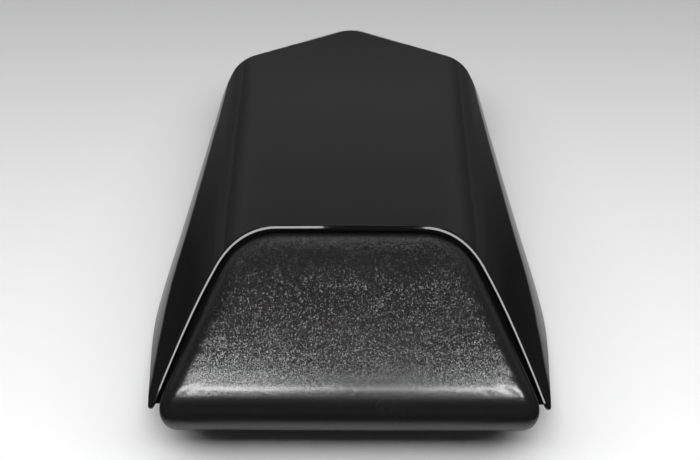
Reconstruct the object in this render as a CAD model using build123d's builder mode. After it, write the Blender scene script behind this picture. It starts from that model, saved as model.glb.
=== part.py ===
from build123d import *
import os
from math import atan2, cos, hypot, pi, radians, sin, sqrt, tan

# Solo seat cowl for a motorbike. +Y points to the tail, +X to the right, and the lower edge stands on z = 0.
# All sizes are in millimetres and all angles in degrees.

# Cowl body
half_length = 179.0  # from the middle to the tail point, and to the front of the pad
hip_half_width = 133.7  # half the width of the lower edge at the hips
pad_reach = 104.0  # from the hips to the front of the pad
hip_y = pad_reach - half_length  # where the lower edge starts to rise and the deck ends
tail_taper = 9.05  # how the lower edge closes in from the hips to the tail, seen from above
nose_taper = 2.9  # how it still opens from the hips to the front
crest_height = 102.0  # deck height at the hips
tail_height = 32.0  # deck height at the tail point
deck_rise = 5.0  # how far the deck bows up between the two
deck_crown = 0.4  # how far the deck falls from its middle to its creases
hip_inset = 64.3  # crease to lower edge, seen from above, at the hips
tail_inset = 6.6  # the same at the tail
flank_turn = 25.0  # how far a flank curves over from its crease to its lower edge
hip_crease_radius = 52.0  # rounding of the crease at the hips
tail_crease_radius = 14.0  # and at the tail
tail_angle = 33.0  # how far each half of the tail wall leans forward from the tail point
tail_radius = 20.0  # rounding of the tail point
tail_edge_radius = 6.0  # rounding of the edge of the tail wall, over the deck and down both corners
wall = 2.4  # moulded wall

# Rim and pad recess
rim_slope = 40.0  # how steeply the rim falls to the front
lower_rise = 15.0  # how steeply the lower edge rises from the hips to the front
hip_blend_radius = 60.0  # rounding where the lower edge starts to rise
tip_radius = 5.0  # rounding of the two front tips
rim_edge_radius = 1.2  # rounding of the outer edge along the rim, round the tips and along the bottom
rim_lip_radius = 0.55  # rounding of the inner edge along the rim
recess_depth = 10.0  # rim to the wall that carries the pad

# Backrest pad
pad_gap = 1.0  # pad to the inside of the recess
pad_top_gap = 0.6  # the same along its top edge
pad_roll_radius = 26.0  # rounding of the front roll
pad_roll_lift = 10.4  # back of the pad to the middle of the roll
pad_face_slope = 31.0  # how steeply the face falls where the roll starts
pad_face_radius = 480.0  # how gently the face bows from there to its top
pad_corner_radius = 38.0  # rounding of the two upper corners
pad_foot_radius = 22.0  # rounding of the two lower corners
pad_foot_length = 9.0  # how far the outline runs on past the roll
pad_edge_radius = 9.0  # rounding of the edge all round the face
pad_seat_gap = 0.3  # back of the pad to the wall of the recess

# Plate in the back of the pad
backing_thickness = 3.0
backing_margin = 16.0  # edge of the pad to the edge of the plate
backing_gap = 0.3  # plate to the foam round it
boss_radius = 5.5
boss_height = 7.0  # boss above the plate, in the foam
boss_gap = 0.4  # boss to its hole in the wall of the recess
boss_end_gap = 0.2  # end of the boss to its washer
boss_top = 27.0  # crest to the upper bosses, down the slope
boss_rise = 13.0  # top of the base plate to the lower bosses, at the back of the recess
boss_upper_half = 38.0  # half the distance between the upper bosses
boss_lower_half = 70.0  # and between the lower ones

# Pan head screws and their washers
screw_radius = 2.0
screw_length = 12.0
screw_gap = 0.05  # screw to its pilot hole
pilot_spare = 2.0  # pilot hole past the end of the screw
screw_head_radius = 4.2
screw_head_height = 2.8
screw_head_edge = 1.2  # rounding of the head
screw_drive_radius = 1.5
screw_drive_depth = 1.5
pad_washer_radius = 8.5
pad_washer_thickness = 1.2
washer_gap = 0.3  # screw or bolt to its washer

# Base plate
base_height = 27.0  # its lower face above the lower edge of the cowl
base_thickness = 3.0
base_gap = 1.5  # plate to the inside of the cowl
rib_height = 5.0
rib_thickness = 2.5
rib_half_spacing = 44.0  # middle to the two long ribs
rib_front_inset = 24.0  # front edge of the plate to the first cross rib
rib_tail_inset = 87.0  # tail point to the last cross rib
cross_rib_count = 4
hole_gap = 0.4  # screw or bolt to its hole in the plate
post_radius = 6.0
post_inset = 30.0  # lower edge of the cowl to the posts, seen from above
post_front_inset = 23.0  # hips to the front posts
post_tail_inset = 91.0  # tail point to the tail posts

# Tail tongues of the base plate
tongue_half_spacing = 30.0
tongue_width = 22.0
tongue_inset = 77.0  # tail point to the root of the tongues
tongue_root = 9.0  # length of the root that joins the plate
tongue_length = 32.0
tongue_drop = 12.0  # lower face of the plate to the lower face of the tongue
tongue_thickness = 5.0
tongue_edge_radius = 2.0

# Lock striker
striker_inset = 55.8  # front edge of the base plate to the middle of the striker
striker_plate_length = 74.0
striker_plate_width = 28.0
striker_plate_thickness = 3.0
striker_plate_corner = 6.0
striker_leg_half = 14.0  # middle of the loop to the middle of a leg
striker_rod_radius = 3.5
striker_bend_radius = 8.0
striker_bar_height = 5.5  # middle of the bar above the lower edge of the cowl
striker_bolt_half = 27.0  # middle of the loop to a bolt
bolt_radius = 3.0
bolt_length = 16.0
bolt_head_flats = 10.0
bolt_head_height = 4.0
bolt_edge = 0.6  # bevel of bolt heads and nuts
nut_height = 5.0
nut_gap = 0.05  # bolt to nut
striker_washer_radius = 9.0
striker_washer_thickness = 1.6

# Rubber bumpers
bumper_half_spacing = 66.0
bumper_front_inset = 17.0  # hips to the front bumpers
bumper_tail_inset = 125.0  # tail point to the tail bumpers
bumper_radius = 9.0
bumper_tip_radius = 7.0
bumper_height = 15.0
bumper_edge_radius = 1.5
bumper_neck_radius = 4.0
bumper_neck_gap = 0.2  # neck to its hole
bumper_barb_radius = 5.6
bumper_barb_tip_radius = 2.6
bumper_barb_height = 6.0

# Helper extents, well outside the part
far = 400.0
foot_depth = 20.0  # how far the body sections run below the lower edge before they are trimmed


def half_width(y):
    """Half the width of the lower edge."""
    taper = tail_taper if y > hip_y else nose_taper
    return hip_half_width - (y - hip_y) * tan(radians(taper))


def along(y):
    """How far y lies from the hips to the tail point, as a share."""
    return (y - hip_y) / (half_length - hip_y)


def deck_height(y):
    """Height of the middle of the deck."""
    t = along(y)
    return crest_height + (tail_height - crest_height) * t + 4 * deck_rise * t * (1 - t)


def crease_point(y):
    """Where deck and flank would meet without their rounding."""
    inset = hip_inset + (tail_inset - hip_inset) * along(y)
    return half_width(y) - inset, deck_height(y) - deck_crown


def flank_arc(y):
    """Centre and radius of the flank's curve, from the crease to the lower edge."""
    x, z = crease_point(y)
    run = half_width(y) - x
    lean = atan2(z, run)
    half_turn = radians(flank_turn) / 2
    radius = hypot(run, z) / (2 * sin(half_turn))
    reach = radius * cos(half_turn)
    return x + run / 2 - reach * sin(lean), z / 2 - reach * cos(lean), radius


def flank_x(y, z):
    """Half the width of the body at a height."""
    centre_x, centre_z, radius = flank_arc(y)
    return centre_x + sqrt(radius**2 - (z - centre_z) ** 2)


def body_section(y, inset):
    """The body cut across at y and drawn in by inset."""
    crease_x, crease_z = crease_point(y)
    middle_z = (crease_z - foot_depth) / 2
    middle_x = flank_x(y, middle_z)
    foot_x = flank_x(y, -foot_depth)
    crease_radius = hip_crease_radius + (tail_crease_radius - hip_crease_radius) * along(y)
    with BuildSketch(Plane.XZ.offset(-y)) as section:
        with BuildLine():
            Line((-foot_x, -foot_depth), (foot_x, -foot_depth))
            ThreePointArc((foot_x, -foot_depth), (middle_x, middle_z), (crease_x, crease_z))
            ThreePointArc((crease_x, crease_z), (0, deck_height(y)), (-crease_x, crease_z))
            ThreePointArc((-crease_x, crease_z), (-middle_x, middle_z), (-foot_x, -foot_depth))
        make_face()
        fillet(section.vertices().group_by(Axis.Y)[-1], crease_radius)
        if inset:
            offset(amount=-inset)
    return section.sketch


def tail_outline(inset):
    """Plan of the pointed tail, open to the front, drawn in by inset."""
    lean = radians(tail_angle)
    point_y = half_length + tail_radius * (1 / cos(lean) - 1)
    corner_y = point_y - far * tan(lean)
    with BuildSketch(Plane.XY.offset(-far)) as outline:
        with BuildLine():
            Polyline((0, point_y), (far, corner_y), (far, -far), (-far, -far), (-far, corner_y), close=True)
        make_face()
        fillet(outline.vertices().sort_by(Axis.Y)[-1], tail_radius)
        if inset:
            offset(amount=-inset)
    return outline.sketch


# The rim and the rising lower edge would meet here, at the two front tips
tip_y = hip_y - crest_height / (tan(radians(rim_slope)) + tan(radians(lower_rise)))
station_margin = 5.0  # how far the body's sections run past the tail point and the tips
station_count = 10
station_step = (half_length - tip_y + 2 * station_margin) / (station_count - 1)
stations = [half_length + station_margin - station_step * i for i in range(station_count)]


def body_form(inset):
    """The whole body, drawn in by inset, with its pointed tail and no trimming at the front or below."""
    with BuildPart() as form:
        loft([body_section(y, inset) for y in stations])
        extrude(tail_outline(inset), amount=2 * far, mode=Mode.INTERSECT)
    return form.part


# The sloping plane of the rim, and the planes of the recess behind it
slope = radians(rim_slope)
rim_plane = Plane((0, hip_y, crest_height), x_dir=(1, 0, 0), z_dir=(0, -sin(slope), cos(slope)))
seat_plane = rim_plane.offset(-recess_depth)
seat_back_plane = seat_plane.offset(-wall)


# Side view of the cowl: the sloping rim, the rounded tip, the rising edge and the flat lower edge
tip_z = crest_height + (tip_y - hip_y) * tan(slope)
with BuildSketch(Plane.YZ) as side_view:
    with BuildLine():
        rim_top = (hip_y + far, crest_height + far * tan(slope))
        Polyline((tip_y, tip_z), (hip_y, 0), (far, 0), (far, rim_top[1]), rim_top, close=True)
    make_face()
    fillet(side_view.vertices().sort_by(Axis.X)[0], tip_radius)
    fillet(side_view.vertices().sort_by_distance((hip_y, 0))[0], hip_blend_radius)

with BuildPart() as cowl_body:
    add(body_form(0))
    extrude(side_view.sketch, amount=far, both=True, mode=Mode.INTERSECT)
    tail_point = (0, half_length, tail_height)
    fillet(cowl_body.edges().sort_by_distance(tail_point)[0], tail_edge_radius)
    rim_middle = (0, hip_y, crest_height)
    fillet(cowl_body.edges().sort_by_distance(rim_middle)[0], rim_edge_radius)

# The inside of the body: a recess in front of the wall that carries the pad, and a hollow behind it
inner_body = body_form(wall)
with BuildPart() as pad_recess:
    add(inner_body)
    split(bisect_by=seat_plane, keep=Keep.TOP)
with BuildPart() as tail_hollow:
    add(inner_body)
    split(bisect_by=seat_back_plane, keep=Keep.BOTTOM)


def rim_point(distance):
    """Point in the middle of the rim plane, a distance down its slope from the crest."""
    return hip_y - distance * cos(slope), crest_height - distance * sin(slope)


def rim_half_width(distance):
    """Half the width of the cowl at the rim, a distance down its slope from the crest."""
    y, z = rim_point(distance)
    return flank_x(y, z)


# Posts inside the cowl take the screws of the base plate
base_top = base_height + base_thickness
post_front_y = hip_y + post_front_inset
post_tail_y = half_length - post_tail_inset
post_middle_y = (post_front_y + post_tail_y) / 2
post_places = [(side * (half_width(y) - post_inset), y)
               for y in (post_front_y, post_middle_y, post_tail_y) for side in (-1, 1)]
pilot_radius = screw_radius + screw_gap
with BuildPart() as posts:
    with BuildSketch(Plane.XY.offset(base_top)):
        with Locations(*post_places):
            Circle(post_radius)
    extrude(amount=crest_height)
    add(cowl_body.part, mode=Mode.INTERSECT)

# Bosses of the backing plate pass through the wall of the recess, the lower ones clear of the base plate
boss_bottom = (seat_back_plane.origin.Z - base_top - boss_rise) / sin(slope)
boss_places = [(side * half, -distance)
               for distance, half in ((boss_top, boss_upper_half), (boss_bottom, boss_lower_half))
               for side in (-1, 1)]

with BuildPart() as cowl_shell:
    add(cowl_body.part)
    add(pad_recess.part, mode=Mode.SUBTRACT)
    lip_middle = (0, *rim_point(wall / sin(slope)))
    fillet(cowl_shell.edges().sort_by_distance(lip_middle)[0], rim_lip_radius)
    add(tail_hollow.part, mode=Mode.SUBTRACT)
    add(posts.part)
    with BuildSketch(Plane.XY.offset(base_top)):
        with Locations(*post_places):
            Circle(pilot_radius)
    extrude(amount=screw_length - base_thickness + pilot_spare, mode=Mode.SUBTRACT)
    with BuildSketch(seat_plane):
        with Locations(*boss_places):
            Circle(boss_radius + boss_gap)
    extrude(amount=-wall, mode=Mode.SUBTRACT)
cowl_shell.part.label = "cowl_shell"

# Backrest pad: its outline on the slope of the rim follows the recess
pad_top = wall / sin(slope) + pad_top_gap  # crest to the top of the pad, down the slope
back_plane = seat_plane.offset(pad_seat_gap)
roll_y = pad_roll_radius - half_length
roll_run = back_plane.origin.Y - roll_y
roll_z = back_plane.origin.Z + (pad_roll_lift - roll_run * sin(slope)) / cos(slope)
roll_distance = (hip_y - roll_y) * cos(slope) + (crest_height - roll_z) * sin(slope)
pad_bottom = roll_distance + pad_roll_radius + pad_foot_length


def pad_outline(plane, margin):
    """Outline of the pad on a plane with the slope of the rim, drawn in by margin."""
    side_gap = wall + pad_gap
    top_half = rim_half_width(pad_top) - side_gap
    bottom_half = rim_half_width(pad_bottom) - side_gap
    with BuildSketch(plane) as outline:
        with BuildLine():
            Polyline((-top_half, -pad_top), (top_half, -pad_top), (bottom_half, -pad_bottom),
                     (-bottom_half, -pad_bottom), close=True)
        make_face()
        fillet(outline.vertices().group_by(Axis.Y)[-1], pad_corner_radius)
        fillet(outline.vertices().group_by(Axis.Y)[0], pad_foot_radius)
        if margin:
            offset(amount=-margin)
    return outline.sketch


def arc_point(centre, radius, angle):
    """Point on a circle in the side view, at an angle from straight up towards the front."""
    return centre[0] - radius * sin(angle), centre[1] + radius * cos(angle)


# Side view of the pad: a flat back, a round roll at the front, and a face that runs on from the roll
face_slope = radians(pad_face_slope)
roll_middle = (roll_y, roll_z)
face_middle = arc_point(roll_middle, pad_roll_radius - pad_face_radius, face_slope)
face_turn = roll_distance / pad_face_radius
heel_reach = sqrt(pad_roll_radius**2 - pad_roll_lift**2)
foot_y, foot_z = arc_point(roll_middle, -pad_roll_lift, slope)
heel = (foot_y - heel_reach * cos(slope), foot_z - heel_reach * sin(slope))
back_top = (heel[0] + pad_bottom * cos(slope), heel[1] + pad_bottom * sin(slope))
with BuildSketch(Plane.YZ) as pad_side_view:
    with BuildLine():
        roll_start = arc_point(roll_middle, pad_roll_radius, face_slope)
        roll_front = arc_point(roll_middle, pad_roll_radius, pi / 2)
        face_half = arc_point(face_middle, pad_face_radius, face_slope - face_turn / 2)
        face_top = arc_point(face_middle, pad_face_radius, face_slope - face_turn)
        ThreePointArc(heel, roll_front, roll_start)
        ThreePointArc(roll_start, face_half, face_top)
        Polyline(face_top, back_top, heel)
    make_face()
back_run = face_top[0] - back_plane.origin.Y
back_climb = face_top[1] - back_plane.origin.Z
top_thickness = back_climb * cos(slope) - back_run * sin(slope)

with BuildPart() as backing_plate:
    extrude(pad_outline(seat_plane, backing_margin), amount=backing_thickness)
    with BuildSketch(seat_plane):
        with Locations(*boss_places):
            Circle(boss_radius)
    extrude(amount=backing_thickness + boss_height)
    with BuildSketch(seat_plane):
        with Locations(*boss_places):
            Circle(boss_radius)
    extrude(amount=boss_end_gap - wall)
    with BuildSketch(seat_back_plane):
        with Locations(*boss_places):
            Circle(pilot_radius)
    extrude(amount=screw_length - pad_washer_thickness + pilot_spare, mode=Mode.SUBTRACT)
backing_plate.part.label = "pad_backing_plate"

with BuildPart() as backrest_pad:
    extrude(pad_outline(back_plane, 0), amount=pad_bottom)
    extrude(pad_side_view.sketch, amount=far, both=True, mode=Mode.INTERSECT)
    top_edges = backrest_pad.edges().filter_by(GeomType.LINE).filter_by(Axis.X)
    fillet(top_edges.sort_by(Axis.Z)[-1], min(pad_edge_radius, top_thickness))
    extrude(pad_outline(seat_plane, backing_margin - backing_gap), amount=backing_thickness + backing_gap,
            mode=Mode.SUBTRACT)
    with BuildSketch(seat_plane):
        with Locations(*boss_places):
            Circle(boss_radius + backing_gap)
    extrude(amount=backing_thickness + boss_height + backing_gap, mode=Mode.SUBTRACT)
backrest_pad.part.label = "backrest_pad"

# One pan head screw, its head above the XY plane and its thread below
with BuildPart() as pan_screw:
    with BuildSketch(Plane.XZ):
        with BuildLine():
            Polyline((0, 0), (screw_head_radius, 0), (screw_head_radius, screw_head_height - screw_head_edge))
            RadiusArc((screw_head_radius, screw_head_height - screw_head_edge),
                      (screw_head_radius - screw_head_edge, screw_head_height), -screw_head_edge)
            Polyline((screw_head_radius - screw_head_edge, screw_head_height), (0, screw_head_height), (0, 0))
        make_face()
    revolve(axis=Axis.Z)
    Cylinder(screw_radius, screw_length, align=(Align.CENTER, Align.CENTER, Align.MAX))
    with BuildSketch(Plane.XY.offset(screw_head_height)):
        RegularPolygon(screw_drive_radius, 6)
    extrude(amount=-screw_drive_depth, mode=Mode.SUBTRACT)


def ring(outer_radius, inner_radius, thickness):
    """A flat washer that lies on the XY plane."""
    with BuildPart() as washer:
        Cylinder(outer_radius, thickness, align=(Align.CENTER, Align.CENTER, Align.MIN))
        Cylinder(inner_radius, thickness, align=(Align.CENTER, Align.CENTER, Align.MIN), mode=Mode.SUBTRACT)
    return washer.part


# Fasteners of the pad, behind the wall of the recess, with their heads towards the tail
pad_washer = ring(pad_washer_radius, screw_radius + washer_gap, pad_washer_thickness)
wall_back = [seat_back_plane * Location((x, y, 0), (180, 0, 0)) for x, y in boss_places]
with BuildPart() as pad_washers:
    with Locations(*wall_back):
        add(pad_washer)
pad_washers.part.label = "pad_washers"
washer_back = [place * Location((0, 0, pad_washer_thickness)) for place in wall_back]
with BuildPart() as pad_screws:
    with Locations(*washer_back):
        add(pan_screw.part)
pad_screws.part.label = "pad_screws"

# Base plate: it follows the inside of the cowl, and carries ribs and two tongues on its lower face
base_front_plane = seat_back_plane.offset(-base_gap)
base_front_y = base_front_plane.origin.Y - (base_front_plane.origin.Z - base_height) / tan(slope)
base_body = body_form(wall + base_gap)
rib_body = body_form(wall + base_gap + rib_thickness)
rib_front_y = base_front_y + rib_front_inset
rib_tail_y = half_length - rib_tail_inset
rib_pitch = (rib_tail_y - rib_front_y) / (cross_rib_count - 1)
bumper_places = [(side * bumper_half_spacing, y)
                 for y in (hip_y + bumper_front_inset, half_length - bumper_tail_inset) for side in (-1, 1)]
striker_y = base_front_y + striker_inset
bolt_places = [(side * striker_bolt_half, striker_y) for side in (-1, 1)]

with BuildPart() as rim_rib:
    add(base_body)
    split(bisect_by=base_front_plane, keep=Keep.BOTTOM)
    split(bisect_by=Plane.XY.offset(base_height - rib_height), keep=Keep.TOP)
    split(bisect_by=Plane.XY.offset(base_height), keep=Keep.BOTTOM)
    add(rib_body, mode=Mode.SUBTRACT)

with BuildPart() as tongues:
    with BuildSketch(Plane.YZ):
        tongue_front_y = half_length - tongue_inset
        tongue_bottom = base_height - tongue_drop
        tongue_top = tongue_bottom + tongue_thickness
        tongue_end = tongue_front_y + tongue_length
        root_end = tongue_front_y + tongue_root
        with BuildLine():
            Polyline((tongue_front_y, base_height), (tongue_front_y, tongue_bottom),
                     (tongue_end, tongue_bottom), (tongue_end, tongue_top),
                     (root_end, tongue_top), (root_end, base_height), close=True)
        make_face()
    extrude(amount=tongue_width / 2, both=True)
    fillet(tongues.edges().filter_by(Axis.X).group_by(Axis.Y)[-1], tongue_edge_radius)

with BuildPart() as base_plate:
    add(base_body)
    split(bisect_by=base_front_plane, keep=Keep.BOTTOM)
    split(bisect_by=Plane.XY.offset(base_height), keep=Keep.TOP)
    split(bisect_by=Plane.XY.offset(base_top), keep=Keep.BOTTOM)
    add(rim_rib.part)
    with BuildSketch(Plane.XY.offset(base_height)):
        with Locations((0, (rib_front_y + rib_tail_y) / 2)):
            with GridLocations(2 * rib_half_spacing, 0, 2, 1):
                Rectangle(rib_thickness, rib_tail_y - rib_front_y + rib_thickness)
            with GridLocations(0, rib_pitch, 1, cross_rib_count):
                Rectangle(2 * rib_half_spacing, rib_thickness)
    extrude(amount=-rib_height)
    with Locations((-tongue_half_spacing, 0, 0), (tongue_half_spacing, 0, 0)):
        add(tongues.part)
    with BuildSketch(Plane.XY.offset(base_height)):
        with Locations(*post_places):
            Circle(screw_radius + hole_gap)
        with Locations(*bumper_places):
            Circle(bumper_neck_radius + bumper_neck_gap)
        with Locations(*bolt_places):
            Circle(bolt_radius + hole_gap)
    extrude(amount=base_thickness, mode=Mode.SUBTRACT)
base_plate.part.label = "base_plate"

with BuildPart() as base_plate_screws:
    with Locations(*[Location((x, y, base_height), (180, 0, 0)) for x, y in post_places]):
        add(pan_screw.part)
base_plate_screws.part.label = "base_plate_screws"

# Lock striker: a bent rod welded to a plate under the base plate
striker_face = base_height - striker_plate_thickness
with BuildPart() as lock_striker:
    with BuildSketch(Plane.XY.offset(striker_face)):
        with Locations((0, striker_y)):
            RectangleRounded(striker_plate_length, striker_plate_width, striker_plate_corner)
        with Locations(*bolt_places):
            Circle(bolt_radius + hole_gap, mode=Mode.SUBTRACT)
    extrude(amount=striker_plate_thickness)
    with BuildLine(Plane.XZ.offset(-striker_y)) as loop:
        FilletPolyline((-striker_leg_half, striker_face), (-striker_leg_half, striker_bar_height),
                       (striker_leg_half, striker_bar_height), (striker_leg_half, striker_face),
                       radius=striker_bend_radius)
    with BuildSketch(Plane.XY.offset(striker_face)):
        with Locations((-striker_leg_half, striker_y)):
            Circle(striker_rod_radius)
    sweep(path=loop.wire())
lock_striker.part.label = "lock_striker"

# Hexagon bolt, its head above the XY plane and its thread below, and the nut that fits it
with BuildPart() as hex_bolt:
    with BuildSketch(Plane.XY):
        RegularPolygon(bolt_head_flats / 2, 6, major_radius=False)
    extrude(amount=bolt_head_height)
    chamfer(hex_bolt.edges().group_by(Axis.Z)[-1], bolt_edge)
    Cylinder(bolt_radius, bolt_length, align=(Align.CENTER, Align.CENTER, Align.MAX))
with BuildPart() as hex_nut:
    with BuildSketch(Plane.XY):
        RegularPolygon(bolt_head_flats / 2, 6, major_radius=False)
    extrude(amount=nut_height)
    chamfer(hex_nut.edges().group_by(Axis.Z)[-1], bolt_edge)
    Cylinder(bolt_radius + nut_gap, 2 * nut_height, mode=Mode.SUBTRACT)

with BuildPart() as striker_bolts:
    with Locations(*[Location((x, y, striker_face), (180, 0, 0)) for x, y in bolt_places]):
        add(hex_bolt.part)
striker_bolts.part.label = "striker_bolts"
striker_washer = ring(striker_washer_radius, bolt_radius + washer_gap, striker_washer_thickness)
with BuildPart() as striker_washers:
    with Locations(*[(x, y, base_top) for x, y in bolt_places]):
        add(striker_washer)
striker_washers.part.label = "striker_washers"
with BuildPart() as striker_nuts:
    with Locations(*[(x, y, base_top + striker_washer_thickness) for x, y in bolt_places]):
        add(hex_nut.part)
striker_nuts.part.label = "striker_nuts"

# Rubber bumper: a tapered foot below the base plate, a neck through it and a barb above
with BuildPart() as bumper:
    with BuildSketch(Plane.XZ):
        barb_end = base_thickness + bumper_barb_height
        with BuildLine():
            Polyline((0, -bumper_height), (bumper_tip_radius, -bumper_height), (bumper_radius, 0),
                     (bumper_neck_radius, 0), (bumper_neck_radius, base_thickness),
                     (bumper_barb_radius, base_thickness), (bumper_barb_tip_radius, barb_end),
                     (0, barb_end), close=True)
        make_face()
    revolve(axis=Axis.Z)
    fillet(bumper.edges().filter_by(GeomType.CIRCLE).group_by(Axis.Z)[0], bumper_edge_radius)
with BuildPart() as support_bumpers:
    with Locations(*[(x, y, base_height) for x, y in bumper_places]):
        add(bumper.part)
support_bumpers.part.label = "support_bumpers"

os.makedirs("parts", exist_ok=True)
for piece in (cowl_shell, backrest_pad, backing_plate, pad_screws, pad_washers, base_plate, base_plate_screws,
              lock_striker, striker_bolts, striker_washers, striker_nuts, support_bumpers):
    export_step(piece.part, f"parts/{piece.part.label}.step")
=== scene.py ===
from math import cos, radians, sin, tan

import bpy
from bpy.props import FloatProperty, FloatVectorProperty, IntProperty, PointerProperty
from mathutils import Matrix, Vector


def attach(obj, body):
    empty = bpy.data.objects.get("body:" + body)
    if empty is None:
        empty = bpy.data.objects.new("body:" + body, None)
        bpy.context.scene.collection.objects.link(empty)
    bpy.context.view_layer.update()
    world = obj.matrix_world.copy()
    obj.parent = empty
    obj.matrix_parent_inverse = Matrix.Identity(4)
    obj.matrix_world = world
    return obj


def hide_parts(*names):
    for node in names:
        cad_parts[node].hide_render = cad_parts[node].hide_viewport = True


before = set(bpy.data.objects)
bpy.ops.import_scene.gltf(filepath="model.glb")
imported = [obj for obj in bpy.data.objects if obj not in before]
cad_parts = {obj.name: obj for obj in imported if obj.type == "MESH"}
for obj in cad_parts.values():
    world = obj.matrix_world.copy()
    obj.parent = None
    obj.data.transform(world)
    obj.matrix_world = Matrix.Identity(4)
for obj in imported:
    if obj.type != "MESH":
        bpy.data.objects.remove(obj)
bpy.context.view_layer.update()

bl_info = {
    "name": "Solo cowl",
    "version": (1, 0, 0),
    "blender": (4, 5, 0),
    "location": "View3D > Sidebar > Cowl",
    "description": "Finishes a motorbike solo cowl with its backrest pad, and sets it on a pale floor",
    "category": "Object",
}


class CowlFinish(bpy.types.PropertyGroup):
    """Finishes of the moulded, steel and rubber pieces"""

    rim_lean: FloatProperty(
        name="Rim lean", description="How steeply the rim and the recess behind it fall to the front",
        default=radians(40.0), subtype="ANGLE", unit="ROTATION")
    rim_top: FloatVectorProperty(
        name="Rim top", description="Middle of the rim at its top", subtype="TRANSLATION", unit="LENGTH", size=3,
        default=(0.0, -0.075, 0.102))
    bare_depth: FloatProperty(
        name="Bare depth", description="Depth below the rim from which the recess has no lacquer", default=0.003,
        unit="LENGTH")
    gloss_colour: FloatVectorProperty(
        name="Gloss colour", description="Black of the lacquered moulding", subtype="COLOR", size=4,
        default=(0.004, 0.004, 0.0045, 1.0))
    gloss_roughness: FloatProperty(
        name="Gloss roughness", description="Roughness of the lacquer where it is cleanest", default=0.05,
        min=0.0, max=1.0, subtype="FACTOR")
    cloud_size: FloatProperty(
        name="Cloud size", description="Size of the duller clouds in the lacquer", default=0.09, unit="LENGTH")
    dust_size: FloatProperty(
        name="Dust size", description="Size of the specks of dust on the lacquer", default=0.0011, unit="LENGTH")
    peel_size: FloatProperty(
        name="Peel size", description="Size of the faint waves in the lacquer", default=0.009, unit="LENGTH")
    peel_depth: FloatProperty(
        name="Peel depth", description="Depth of the faint waves in the lacquer", default=0.000012, unit="LENGTH")
    plastic_colour: FloatVectorProperty(
        name="Plastic colour", description="Black of the plates, as moulded", subtype="COLOR", size=4,
        default=(0.016, 0.016, 0.017, 1.0))
    plastic_cloud: FloatProperty(
        name="Plastic cloud", description="Size of the paler clouds in the plates", default=0.03, unit="LENGTH")
    spark_size: FloatProperty(
        name="Spark size", description="Size of the mould's texture on the plates", default=0.0007, unit="LENGTH")
    spark_depth: FloatProperty(
        name="Spark depth", description="Depth of the mould's texture on the plates", default=0.00008,
        unit="LENGTH")
    zinc_colour: FloatVectorProperty(
        name="Zinc colour", description="Zinc plate on the striker and the fasteners", subtype="COLOR", size=4,
        default=(0.56, 0.56, 0.57, 1.0))
    brush_size: FloatProperty(
        name="Brush size", description="Width of the marks in the zinc plate", default=0.0012, unit="LENGTH")
    brush_depth: FloatProperty(
        name="Brush depth", description="Depth of the marks in the zinc plate", default=0.00003, unit="LENGTH")
    zinc_bloom: FloatProperty(
        name="Zinc bloom", description="Size of the dull spots on the zinc plate", default=0.009, unit="LENGTH")
    rubber_colour: FloatVectorProperty(
        name="Rubber colour", description="Black of the bumpers", subtype="COLOR", size=4,
        default=(0.014, 0.014, 0.014, 1.0))
    rubber_bloom: FloatProperty(
        name="Rubber bloom", description="Size of the pale spots on the rubber", default=0.004, unit="LENGTH")
    pore_size: FloatProperty(
        name="Pore size", description="Size of the pores in the rubber", default=0.0005, unit="LENGTH")
    pore_depth: FloatProperty(
        name="Pore depth", description="Depth of the pores in the rubber", default=0.00006, unit="LENGTH")


class CowlPad(bpy.types.PropertyGroup):
    """Form and skin of the backrest pad"""

    skin_colour: FloatVectorProperty(
        name="Skin colour", description="Black of the grained skin", subtype="COLOR", size=4,
        default=(0.008, 0.008, 0.0085, 1.0))
    grain_size: FloatProperty(
        name="Grain size", description="Size of one pebble of the grain", default=0.00042, unit="LENGTH")
    grain_tilt: FloatProperty(
        name="Grain tilt", description="How far the pebbles lean to and fro", default=0.38)
    roll_grain: FloatProperty(
        name="Roll grain", description="Share of the grain that is left where the skin is stretched over the roll",
        default=0.18, min=0.0, max=1.0, subtype="FACTOR")
    roll_top: FloatProperty(
        name="Roll top", description="Height up to which the skin is stretched", default=0.062, unit="LENGTH")
    roll_blend: FloatProperty(
        name="Roll blend", description="Height over which the grain comes back", default=0.027, unit="LENGTH")
    wear_size: FloatProperty(
        name="Wear size", description="Size of the smoother patches of the skin", default=0.05, unit="LENGTH")
    lean: FloatProperty(
        name="Lean", description="How steeply the back of the pad lies in its recess", default=radians(40.0),
        subtype="ANGLE", unit="ROTATION")
    held_depth: FloatProperty(
        name="Held depth", description="How much of the pad is held by its plate, from the back", default=0.004,
        unit="LENGTH")
    mesh_size: FloatProperty(
        name="Mesh size", description="Size of the skin's faces before they are divided", default=0.0022,
        unit="LENGTH")
    pressure: FloatProperty(name="Pressure", description="How hard the foam fills its skin", default=4.0)
    most_swell: FloatProperty(
        name="Most swell", description="How far the skin may swell from its mould", default=0.0002, unit="LENGTH")
    frames: IntProperty(name="Frames", description="Steps of the skin's simulation", default=16)
    fill: FloatProperty(
        name="Fill", description="How full the pad is", default=0.9, min=0.0, max=1.0, subtype="FACTOR")


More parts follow.
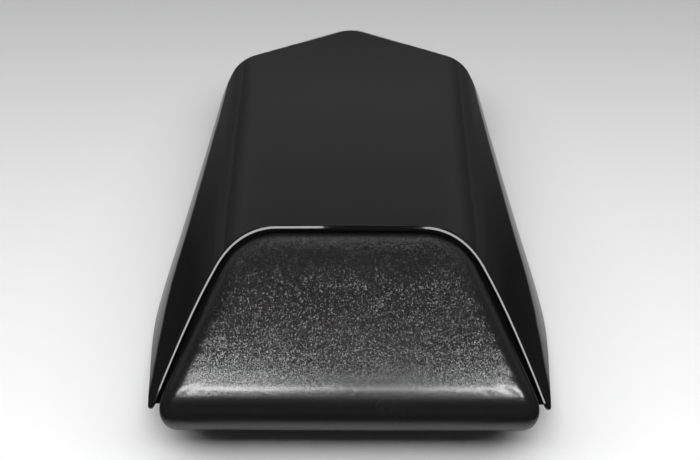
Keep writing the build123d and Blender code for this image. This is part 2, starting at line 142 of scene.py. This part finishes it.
class CowlStage(bpy.types.PropertyGroup):
    """Floor, light and camera"""

    floor_colour: FloatVectorProperty(
        name="Floor colour", description="Pale floor, near the front", subtype="COLOR", size=4,
        default=(0.94, 0.94, 0.945, 1.0))
    floor_size: FloatProperty(
        name="Floor size", description="Length of each side of the floor", default=8.0, unit="LENGTH")
    # Painted shade: the floor's colour grows darker to the back in place of light falling off
    floor_shade: FloatProperty(
        name="Floor shade", description="Level of the floor at the back, as a share of the front", default=0.21,
        min=0.0, max=1.0, subtype="FACTOR")
    far_level: FloatProperty(
        name="Far level", description="Level of the floor far from the cowl, where the lamps don't reach",
        default=0.85, min=0.0)
    # Painted reflection: the floor's colour in the gloss alone, pale near the cowl and dark farther off, shaped by
    # the edge and reach below
    front_glow: FloatProperty(
        name="Front glow", description="Level of the floor in front of the pad, as the cowl mirrors it",
        default=0.47)
    side_glow: FloatProperty(
        name="Side glow", description="Level of the floor beside the lower edge, as the cowl mirrors it",
        default=0.19)
    hip_glow: FloatProperty(
        name="Hip glow", description="Level of the floor farther off at the hips, as the cowl mirrors it",
        default=0.008)
    tail_glow: FloatProperty(
        name="Tail glow", description="Level of the floor farther off at the tail, as the cowl mirrors it",
        default=0.035)
    edge_half_width: FloatProperty(
        name="Edge half width", description="Half the width of the cowl's lower edge at the hips", default=0.1337,
        unit="LENGTH")
    edge_hip: FloatProperty(
        name="Edge hip", description="Where the hips lie along the cowl", default=-0.075, unit="LENGTH")
    edge_taper: FloatProperty(
        name="Edge taper", description="How the lower edge closes in from the hips to the tail",
        default=radians(9.05), subtype="ANGLE", unit="ROTATION")
    mirror_reach: FloatProperty(
        name="Mirror reach", description="How far from the cowl the floor still shines in the gloss",
        default=0.0125, unit="LENGTH")
    camera_place: FloatVectorProperty(
        name="Camera place", description="Where the camera stands", subtype="TRANSLATION", unit="LENGTH", size=3,
        default=(0.00169, -0.5408, 0.6934))
    camera_elevation: FloatProperty(
        name="Camera elevation", description="How steeply the camera looks down", default=radians(52.0),
        subtype="ANGLE", unit="ROTATION")
    camera_turn: FloatProperty(
        name="Camera turn", description="How far the camera is turned to the left", default=radians(0.2),
        subtype="ANGLE", unit="ROTATION")
    camera_lens: FloatProperty(name="Lens", description="Focal length in millimetres", default=62.48)
    softbox_left: FloatVectorProperty(
        name="Left softbox", description="Place of the left softbox", subtype="TRANSLATION", unit="LENGTH",
        size=3, default=(-0.24, -0.79, 0.79))
    softbox_right: FloatVectorProperty(
        name="Right softbox", description="Place of the right softbox", subtype="TRANSLATION", unit="LENGTH",
        size=3, default=(0.31, -0.79, 0.79))
    softbox_aim: FloatVectorProperty(
        name="Softbox aim", description="Point that both softboxes face", subtype="TRANSLATION", unit="LENGTH",
        size=3, default=(0.0, -0.1, 0.06))
    softbox_power: FloatProperty(
        name="Softbox power", description="Power of each of the two softboxes beside the camera", default=1.95,
        unit="POWER")
    softbox_width: FloatProperty(
        name="Softbox width", description="Width of each softbox", default=0.36, unit="LENGTH")
    softbox_height: FloatProperty(
        name="Softbox height", description="Height of each softbox", default=0.33, unit="LENGTH")
    top_place: FloatVectorProperty(
        name="Top place", description="Place of the soft light above the cowl, which faces straight down",
        subtype="TRANSLATION", unit="LENGTH", size=3, default=(0.0, 0.05, 1.4))
    top_width: FloatProperty(
        name="Top width", description="Width of the soft light above the cowl", default=4.0, unit="LENGTH")
    top_depth: FloatProperty(
        name="Top depth", description="Depth of the soft light above the cowl", default=1.3, unit="LENGTH")
    top_power: FloatProperty(
        name="Top power", description="Power of the soft light above the cowl", default=53.0, unit="POWER")
    strip_place: FloatVectorProperty(
        name="Strip place", description="Place of the strip light above the deck", subtype="TRANSLATION",
        unit="LENGTH", size=3, default=(0.0, 0.36, 1.18))
    strip_aim: FloatVectorProperty(
        name="Strip aim", description="Point that the strip light faces", subtype="TRANSLATION", unit="LENGTH",
        size=3, default=(0.0, -0.08, 0.1))
    strip_width: FloatProperty(
        name="Strip width", description="Width of the strip light", default=0.9, unit="LENGTH")
    strip_depth: FloatProperty(
        name="Strip depth", description="Depth of the strip light", default=0.22, unit="LENGTH")
    strip_power: FloatProperty(
        name="Strip power", description="Power of the strip light above the deck", default=0.6, unit="POWER")
    backdrop_level: FloatProperty(
        name="Backdrop level", description="Brightness of the pale backdrop behind the cowl", default=0.18)
    horizon_share: FloatProperty(
        name="Horizon share", description="Brightness of the backdrop where it meets the floor, as a share",
        default=0.32, min=0.0, max=1.0, subtype="FACTOR")
    room_level: FloatProperty(
        name="Room level", description="Brightness of the room round the stage", default=0.03)


def deselect_all():
    """Leave nothing selected, so that the next operator acts on its own piece alone."""
    if bpy.context.object is not None and bpy.context.object.mode != "OBJECT":
        bpy.ops.object.mode_set(mode="OBJECT")
    bpy.ops.object.select_all(action="DESELECT")


def take(piece):
    """Make one piece the selected and active one."""
    deselect_all()
    piece.select_set(True)
    bpy.context.view_layer.objects.active = piece


def merged_copy(node, name):
    """A new piece with the mesh of a CAD node, with the loose edges of its faces joined."""
    piece = bpy.data.objects.new(name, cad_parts[node].data.copy())
    bpy.context.scene.collection.objects.link(piece)
    piece.data.materials.clear()
    take(piece)
    bpy.ops.mesh.customdata_custom_splitnormals_clear()
    bpy.ops.object.mode_set(mode="EDIT")
    bpy.ops.mesh.select_all(action="SELECT")
    bpy.ops.mesh.remove_doubles(threshold=1e-6)
    bpy.ops.object.mode_set(mode="OBJECT")
    return piece


def paint(piece, material):
    """Give a piece or a CAD node one material."""
    if piece.material_slots:
        for slot in piece.material_slots:
            slot.material = material
    else:
        piece.data.materials.append(material)


def shade(colour, share):
    """A colour made lighter or darker."""
    return [min(1.0, c * share) for c in colour[:3]] + [1.0]


class Nodes:
    """The node tree of a material or a world, with short ways to add what is needed here."""

    def __init__(self, owner):
        owner.use_nodes = True
        self.nodes = owner.node_tree.nodes
        self.links = owner.node_tree.links

    def feed(self, socket, value):
        """Link a socket to another node, or set it to a constant."""
        if isinstance(value, bpy.types.NodeSocket):
            self.links.new(value, socket)
        else:
            socket.default_value = value

    def split(self, vector):
        """The X, Y and Z of a vector."""
        node = self.nodes.new("ShaderNodeSeparateXYZ")
        self.feed(node.inputs["Vector"], vector)
        return node.outputs

    def ramp(self, value, low, high, start=0.0, end=1.0, shape="LINEAR"):
        """The value turned from start..end into low..high."""
        node = self.nodes.new("ShaderNodeMapRange")
        node.interpolation_type = shape
        node.inputs["From Min"].default_value = start
        node.inputs["From Max"].default_value = end
        node.inputs["To Min"].default_value = low
        node.inputs["To Max"].default_value = high
        self.feed(node.inputs["Value"], value)
        return node.outputs["Result"]

    def maths(self, operation, first, second=0.0):
        """One sum of two values."""
        node = self.nodes.new("ShaderNodeMath")
        node.operation = operation
        self.feed(node.inputs[0], first)
        self.feed(node.inputs[1], second)
        return node.outputs["Value"]

    def vectors(self, operation, first, second=(0.0, 0.0, 0.0)):
        """One sum of two vectors, or of a vector and the value that scales it."""
        node = self.nodes.new("ShaderNodeVectorMath")
        node.operation = operation
        self.feed(node.inputs[0], first)
        self.feed(node.inputs["Scale" if operation == "SCALE" else 1], second)
        return node.outputs

    def colours(self, value, low, high):
        """A blend from one colour to another."""
        node = self.nodes.new("ShaderNodeMix")
        node.data_type = "RGBA"
        self.feed(node.inputs["Factor"], value)
        self.feed(node.inputs[6], low)
        self.feed(node.inputs[7], high)
        return node.outputs[2]


class Finish(Nodes):
    """A material with a Principled shader, on the piece's own Object coordinates."""

    def __init__(self, name):
        self.material = bpy.data.materials.new(name)
        super().__init__(self.material)
        self.shader = self.nodes["Principled BSDF"]
        self.place = self.nodes.new("ShaderNodeTexCoord").outputs["Object"]

    def give(self, socket_name, value):
        """Feed one of the shader's own sockets."""
        self.feed(self.shader.inputs[socket_name], value)

    def noise(self, size, detail=2.0, stretch=(1.0, 1.0, 1.0)):
        """Cloudy pattern with clouds of about this size."""
        mapping = self.nodes.new("ShaderNodeMapping")
        mapping.inputs["Scale"].default_value = stretch
        self.feed(mapping.inputs["Vector"], self.place)
        node = self.nodes.new("ShaderNodeTexNoise")
        node.inputs["Scale"].default_value = 1.0 / size
        node.inputs["Detail"].default_value = detail
        self.feed(node.inputs["Vector"], mapping.outputs["Vector"])
        return node.outputs["Fac"]

    def mottle(self, pattern, colour, darkest, lightest):
        """Colour that goes from darker to lighter with a pattern."""
        self.give("Base Color", self.colours(pattern, shade(colour, darkest), shade(colour, lightest)))

    def relief(self, height, depth, strength=1.0):
        """Bump of this depth."""
        node = self.nodes.new("ShaderNodeBump")
        node.inputs["Strength"].default_value = strength
        node.inputs["Distance"].default_value = depth
        self.feed(node.inputs["Height"], height)
        self.give("Normal", node.outputs["Normal"])


def gloss_lacquer(settings):
    """Black lacquer with faint waves and dust, left off the floor of the recess."""
    finish = Finish("gloss_lacquer")
    clouds = finish.noise(settings.cloud_size, 3.0)
    dust = finish.noise(settings.dust_size, 2.0)
    finish.mottle(clouds, settings.gloss_colour, 0.8, 1.25)
    haze = finish.maths("ADD", finish.ramp(clouds, 0.0, 0.03, 0.35, 0.7), finish.ramp(dust, 0.0, 0.05, 0.62, 0.8))
    # The floor of the recess faces the same way as the rim and lies below it
    square = Vector((0.0, -sin(settings.rim_lean), cos(settings.rim_lean)))
    height = finish.maths("SUBTRACT", finish.vectors("DOT_PRODUCT", finish.place, square)["Value"],
                          square.dot(settings.rim_top))
    normal = finish.nodes.new("ShaderNodeNewGeometry").outputs["True Normal"]
    level = finish.ramp(finish.vectors("DOT_PRODUCT", normal, square)["Value"], 0.0, 1.0, 0.99, 0.995)
    below = finish.ramp(height, 1.0, 0.0, -settings.bare_depth - 0.001, -settings.bare_depth)
    bare = finish.maths("MULTIPLY", level, below)
    smooth = finish.maths("ADD", haze, settings.gloss_roughness)
    finish.give("Roughness", finish.maths("MAXIMUM", smooth, finish.ramp(bare, 0.0, 0.6)))
    finish.relief(finish.noise(settings.peel_size, 1.0), settings.peel_depth)
    finish.give("IOR", 1.5)
    finish.give("Specular IOR Level", finish.ramp(bare, 0.5, 0.15))
    finish.give("Coat Weight", finish.ramp(bare, 1.0, 0.0))
    finish.give("Coat Roughness", settings.gloss_roughness * 0.5)
    return finish.material


def grained_skin(settings):
    """Black skin with fine pebbles that lean to and fro, stretched smooth over the roll."""
    finish = Finish("grained_skin")
    pebbles = finish.nodes.new("ShaderNodeTexVoronoi")
    pebbles.inputs["Scale"].default_value = 1.0 / settings.grain_size
    finish.feed(pebbles.inputs["Vector"], finish.place)
    spread = finish.ramp(pebbles.outputs["Distance"], 0.0, 1.0, 0.0, 0.8)
    finish.mottle(spread, settings.skin_colour, 1.3, 0.55)
    wear = finish.ramp(finish.noise(settings.wear_size, 2.0), -0.02, 0.02, 0.3, 0.7)
    finish.give("Roughness", finish.maths("ADD", wear, finish.ramp(spread, 0.2, 0.26)))
    stretched = finish.ramp(finish.split(finish.place)["Z"], settings.roll_grain, 1.0, settings.roll_top,
                            settings.roll_top + settings.roll_blend)
    lean = finish.vectors("SUBTRACT", pebbles.outputs["Color"], (0.5, 0.5, 0.5))["Vector"]
    lean = finish.vectors("SCALE", lean, finish.maths("MULTIPLY", stretched, settings.grain_tilt))["Vector"]
    normal = finish.nodes.new("ShaderNodeNewGeometry").outputs["Normal"]
    normal = finish.vectors("ADD", normal, lean)["Vector"]
    finish.give("Normal", finish.vectors("NORMALIZE", normal)["Vector"])
    finish.give("IOR", 1.8)
    finish.give("Specular IOR Level", 1.0)
    return finish.material


def moulded_plastic(settings):
    """Matt black plastic with the spark texture of its mould."""
    finish = Finish("moulded_plastic")
    spark = finish.noise(settings.spark_size, 3.0)
    finish.mottle(finish.noise(settings.plastic_cloud, 3.0), settings.plastic_colour, 0.75, 1.35)
    finish.give("Roughness", finish.ramp(spark, 0.45, 0.66, 0.3, 0.7))
    finish.relief(spark, settings.spark_depth, 0.7)
    return finish.material


def zinc_plate(settings, name, stretch):
    """Zinc plated steel, with marks along the way it was worked and a dull bloom."""
    finish = Finish(name)
    brushed = finish.noise(settings.brush_size, 3.0, stretch)
    bloom = finish.noise(settings.zinc_bloom, 3.0)
    finish.mottle(bloom, settings.zinc_colour, 0.82, 1.08)
    marks = finish.ramp(brushed, 0.2, 0.36, 0.3, 0.7)
    finish.give("Roughness", finish.maths("ADD", marks, finish.ramp(bloom, 0.0, 0.1, 0.4, 0.7)))
    finish.relief(brushed, settings.brush_depth, 0.5)
    finish.give("Metallic", 1.0)
    return finish.material


def matt_rubber(settings):
    """Black rubber with pores and a pale bloom."""
    finish = Finish("matt_rubber")
    bloom = finish.noise(settings.rubber_bloom, 4.0)
    finish.mottle(bloom, settings.rubber_colour, 0.8, 1.7)
    finish.give("Roughness", finish.ramp(bloom, 0.62, 0.82, 0.3, 0.7))
    finish.relief(finish.noise(settings.pore_size, 2.0), settings.pore_depth, 0.6)
    return finish.material


class COWL_OT_stage(bpy.types.Operator):
    """Lay the pale floor, set the lights and place the camera"""

    bl_idname = "cowl.stage"
    bl_label = "Stage"

    def lamp(self, name, place, target, power, size_x, size_y):
        """A soft rectangular light that faces a point."""
        deselect_all()
        bpy.ops.object.light_add(type="AREA", location=place)
        lamp = bpy.context.object
        lamp.name = name
        lamp.rotation_euler = (Vector(target) - Vector(place)).to_track_quat("-Z", "Y").to_euler()
        lamp.data.shape = "RECTANGLE"
        lamp.data.size = size_x
        lamp.data.size_y = size_y
        lamp.data.energy = power
        return lamp

    def floor(self, settings):
        """A pale floor, painted darker to the back, and dark in the gloss except beside the cowl's lower edge and
        in front of the pad, a painted reflection.
        """
        deselect_all()
        bpy.ops.mesh.primitive_plane_add(size=settings.floor_size)
        floor = bpy.context.object
        floor.name = "pale_floor"
        finish = Finish("pale_floor")
        finish.give("Roughness", 0.75)
        finish.give("Specular IOR Level", 0.2)
        axes = finish.split(finish.place)
        ray = finish.nodes.new("ShaderNodeLightPath")
        mirrored = ray.outputs["Is Glossy Ray"]
        # How far a place lies outside the lower edge, which closes in from the hips to the tail; it shapes the
        # painted reflection
        past_hip = finish.maths("MAXIMUM", finish.maths("SUBTRACT", axes["Y"], settings.edge_hip), 0.0)
        closing = finish.maths("MULTIPLY", past_hip, tan(settings.edge_taper))
        from_middle = finish.maths("ADD", finish.maths("ABSOLUTE", axes["X"]), closing)
        beside = finish.maths("SUBTRACT", from_middle, settings.edge_half_width)
        # Painted reflection: the floor's colour in the gloss alone, which the cowl mirrors as pale bands along its
        # lower edge and on the pad's roll
        reach = settings.mirror_reach
        glow = finish.ramp(beside, settings.front_glow, settings.side_glow, -0.015, reach)
        near = finish.ramp(beside, 1.0, 0.0, reach * 0.9, reach * 1.1)
        in_front = finish.ramp(axes["Y"], 0.0, 1.0, -0.225, -0.18)
        lit = finish.maths("MULTIPLY", finish.maths("MULTIPLY", near, in_front), glow)
        rest = finish.ramp(axes["Y"], settings.hip_glow, settings.tail_glow, 0.0, 0.14)
        # What the camera sees, darker to the back: painted shade in place of the light falling off there
        back = finish.ramp(axes["Y"], 0.0, 1.0, -0.3, 0.45)
        seen = finish.colours(back, settings.floor_colour, shade(settings.floor_colour, settings.floor_shade))
        finish.give("Base Color", finish.colours(mirrored, seen, finish.maths("MAXIMUM", lit, rest)))
        # Far off, the floor glows in the gloss as a painted reflection of the backdrop, and stays pale where the
        # lamps don't reach
        distance = finish.vectors("LENGTH", finish.place)["Value"]
        horizon = finish.ramp(distance, 0.0, settings.backdrop_level * settings.horizon_share, 0.2, 0.9)
        far = finish.ramp(distance, 0.0, settings.far_level, 0.45, 1.3)
        finish.give("Emission Color", (1.0, 1.0, 1.0, 1.0))
        finish.give("Emission Strength", finish.maths(
            "ADD", finish.maths("MULTIPLY", horizon, mirrored),
            finish.maths("MULTIPLY", far, ray.outputs["Is Camera Ray"])))
        paint(floor, finish.material)

    def room(self, context, settings):
        """The room seen in the gloss: a pale backdrop low behind the cowl, and dim walls."""
        world = bpy.data.worlds.new("studio")
        context.scene.world = world
        room = Nodes(world)
        axes = room.split(room.nodes.new("ShaderNodeTexCoord").outputs["Generated"])
        behind = room.ramp(axes["Y"], 0.0, 1.0, -0.2, 0.85, "SMOOTHSTEP")
        below_top = room.ramp(axes["Z"], 0.0, 1.0, 0.74, 0.45, "SMOOTHSTEP")
        above_floor = room.ramp(axes["Z"], settings.horizon_share, 1.0, 0.0, 0.3, "SMOOTHSTEP")
        backdrop = room.maths("MULTIPLY", behind, room.maths("MULTIPLY", below_top, above_floor))
        level = room.ramp(backdrop, settings.room_level, settings.backdrop_level)
        to_camera = room.nodes.new("ShaderNodeLightPath").outputs["Is Camera Ray"]
        background = room.nodes["Background"]
        room.feed(background.inputs["Strength"], room.maths("MAXIMUM", level, to_camera))
        room.feed(background.inputs["Color"], (1.0, 1.0, 1.0, 1.0))

    def lamps(self, settings):
        """Two softboxes beside the camera, a wide light above and a strip for the rim."""
        for name, place in (("softbox_left", settings.softbox_left), ("softbox_right", settings.softbox_right)):
            softbox = self.lamp(name, place, settings.softbox_aim, settings.softbox_power, settings.softbox_width,
                                settings.softbox_height)
            softbox.visible_diffuse = False
        under_top = (settings.top_place[0], settings.top_place[1], 0.0)
        top_light = self.lamp("top_light", settings.top_place, under_top, settings.top_power, settings.top_width,
                              settings.top_depth)
        top_light.visible_glossy = False
        back_strip = self.lamp("back_strip", settings.strip_place, settings.strip_aim, settings.strip_power,
                               settings.strip_width, settings.strip_depth)
        back_strip.visible_diffuse = False

    def camera(self, context, settings):
        """The camera, where the photo was taken from."""
        deselect_all()
        bpy.ops.object.camera_add(
            location=settings.camera_place,
            rotation=(radians(90.0) - settings.camera_elevation, 0.0, settings.camera_turn))
        camera = bpy.context.object
        camera.name = "photo_camera"
        camera.data.lens = settings.camera_lens
        camera.data.clip_start = 0.01
        context.scene.camera = camera

    def execute(self, context):
        settings = context.scene.cowl_stage
        context.scene.view_settings.view_transform = "Standard"
        self.floor(settings)
        self.room(context, settings)
        self.lamps(settings)
        self.camera(context, settings)
        return {"FINISHED"}


class COWL_OT_moulding(bpy.types.Operator):
    """Lacquer the gloss black moulding"""

    bl_idname = "cowl.moulding"
    bl_label = "Gloss moulding"

    def execute(self, context):
        paint(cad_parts["cowl_shell"], gloss_lacquer(context.scene.cowl_finish))
        return {"FINISHED"}


class COWL_OT_pad(bpy.types.Operator):
    """Swell the backrest pad in its skin and give it its grain"""

    bl_idname = "cowl.backrest_pad"
    bl_label = "Backrest pad"

    def swell(self, context, pad, settings):
        """Fill the skin with foam, with the back of the pad held flat by its plate."""
        back = Vector((0.0, sin(settings.lean), -cos(settings.lean)))
        mould = [v.co.copy() for v in pad.data.vertices]
        deepest = max(co.dot(back) for co in mould)
        held = pad.vertex_groups.new(name="held")
        held.add([i for i, co in enumerate(mould) if deepest - co.dot(back) < settings.held_depth], 1.0, "REPLACE")
        bpy.ops.object.modifier_add(type="CLOTH")
        cloth = pad.modifiers["Cloth"]
        cloth.settings.quality = 4
        cloth.settings.use_pressure = True
        cloth.settings.uniform_pressure_force = settings.pressure
        cloth.settings.effector_weights.gravity = 0.0
        cloth.settings.vertex_group_mass = "held"
        cloth.point_cache.frame_start = 1
        cloth.point_cache.frame_end = settings.frames
        for step in range(1, settings.frames + 1):
            context.scene.frame_set(step)
        bpy.ops.object.modifier_apply(modifier="Cloth")
        context.scene.frame_set(1)
        for vertex, start in zip(pad.data.vertices, mould):
            move = vertex.co - start
            if move.length > settings.most_swell:
                vertex.co = start + move.normalized() * settings.most_swell
        pad.vertex_groups.clear()

    def execute(self, context):
        settings = context.scene.cowl_pad
        pad = merged_copy("backrest_pad", "backrest_pad_skin")
        pad.data.remesh_voxel_size = settings.mesh_size
        bpy.ops.object.voxel_remesh()
        bpy.ops.object.modifier_add(type="SHRINKWRAP")
        pad.modifiers["Shrinkwrap"].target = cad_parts["backrest_pad"]
        bpy.ops.object.modifier_apply(modifier="Shrinkwrap")
        self.swell(context, pad, settings)
        bpy.ops.object.modifier_add(type="SUBSURF")
        pad.modifiers["Subdivision"].levels = 1
        pad.modifiers["Subdivision"].render_levels = 1
        bpy.ops.object.modifier_apply(modifier="Subdivision")
        bpy.ops.object.shade_smooth()
        paint(pad, grained_skin(settings))
        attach(pad, "root")
        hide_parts("backrest_pad")
        return {"FINISHED"}


class COWL_OT_plates(bpy.types.Operator):
    """Give the base plate and the pad's plate their moulded plastic"""

    bl_idname = "cowl.plates"
    bl_label = "Plates"

    def execute(self, context):
        plastic = moulded_plastic(context.scene.cowl_finish)
        for node in ("base_plate", "pad_backing_plate"):
            paint(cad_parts[node], plastic)
        return {"FINISHED"}


class COWL_OT_steel(bpy.types.Operator):
    """Plate the striker and the fasteners with zinc"""

    bl_idname = "cowl.steel"
    bl_label = "Striker and fasteners"

    def execute(self, context):
        settings = context.scene.cowl_finish
        paint(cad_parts["lock_striker"], zinc_plate(settings, "striker_zinc", (0.12, 1.0, 1.0)))
        turned = zinc_plate(settings, "fastener_zinc", (1.0, 1.0, 0.3))
        for node in ("pad_screws", "pad_washers", "base_plate_screws", "striker_bolts", "striker_washers",
                     "striker_nuts"):
            paint(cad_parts[node], turned)
        return {"FINISHED"}


class COWL_OT_bumpers(bpy.types.Operator):
    """Give the four bumpers their rubber"""

    bl_idname = "cowl.bumpers"
    bl_label = "Rubber bumpers"

    def execute(self, context):
        paint(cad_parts["support_bumpers"], matt_rubber(context.scene.cowl_finish))
        return {"FINISHED"}


class COWL_PT_panel(bpy.types.Panel):
    """Steps that finish the cowl"""

    bl_idname = "COWL_PT_panel"
    bl_label = "Solo cowl"
    bl_space_type = "VIEW_3D"
    bl_region_type = "UI"
    bl_category = "Cowl"

    def draw(self, context):
        for operator in (COWL_OT_stage, COWL_OT_moulding, COWL_OT_pad, COWL_OT_plates, COWL_OT_steel,
                         COWL_OT_bumpers):
            self.layout.operator(operator.bl_idname)


classes = (CowlFinish, CowlPad, CowlStage, COWL_OT_stage, COWL_OT_moulding, COWL_OT_pad, COWL_OT_plates,
           COWL_OT_steel, COWL_OT_bumpers, COWL_PT_panel)


def register():
    for cls in classes:
        bpy.utils.register_class(cls)
    bpy.types.Scene.cowl_finish = PointerProperty(type=CowlFinish)
    bpy.types.Scene.cowl_pad = PointerProperty(type=CowlPad)
    bpy.types.Scene.cowl_stage = PointerProperty(type=CowlStage)


def unregister():
    del bpy.types.Scene.cowl_stage
    del bpy.types.Scene.cowl_pad
    del bpy.types.Scene.cowl_finish
    for cls in reversed(classes):
        bpy.utils.unregister_class(cls)


def main():
    register()
    bpy.ops.cowl.stage()
    bpy.ops.cowl.moulding()
    bpy.ops.cowl.backrest_pad()
    bpy.ops.cowl.plates()
    bpy.ops.cowl.steel()
    bpy.ops.cowl.bumpers()


if __name__ == "__main__":
    main()
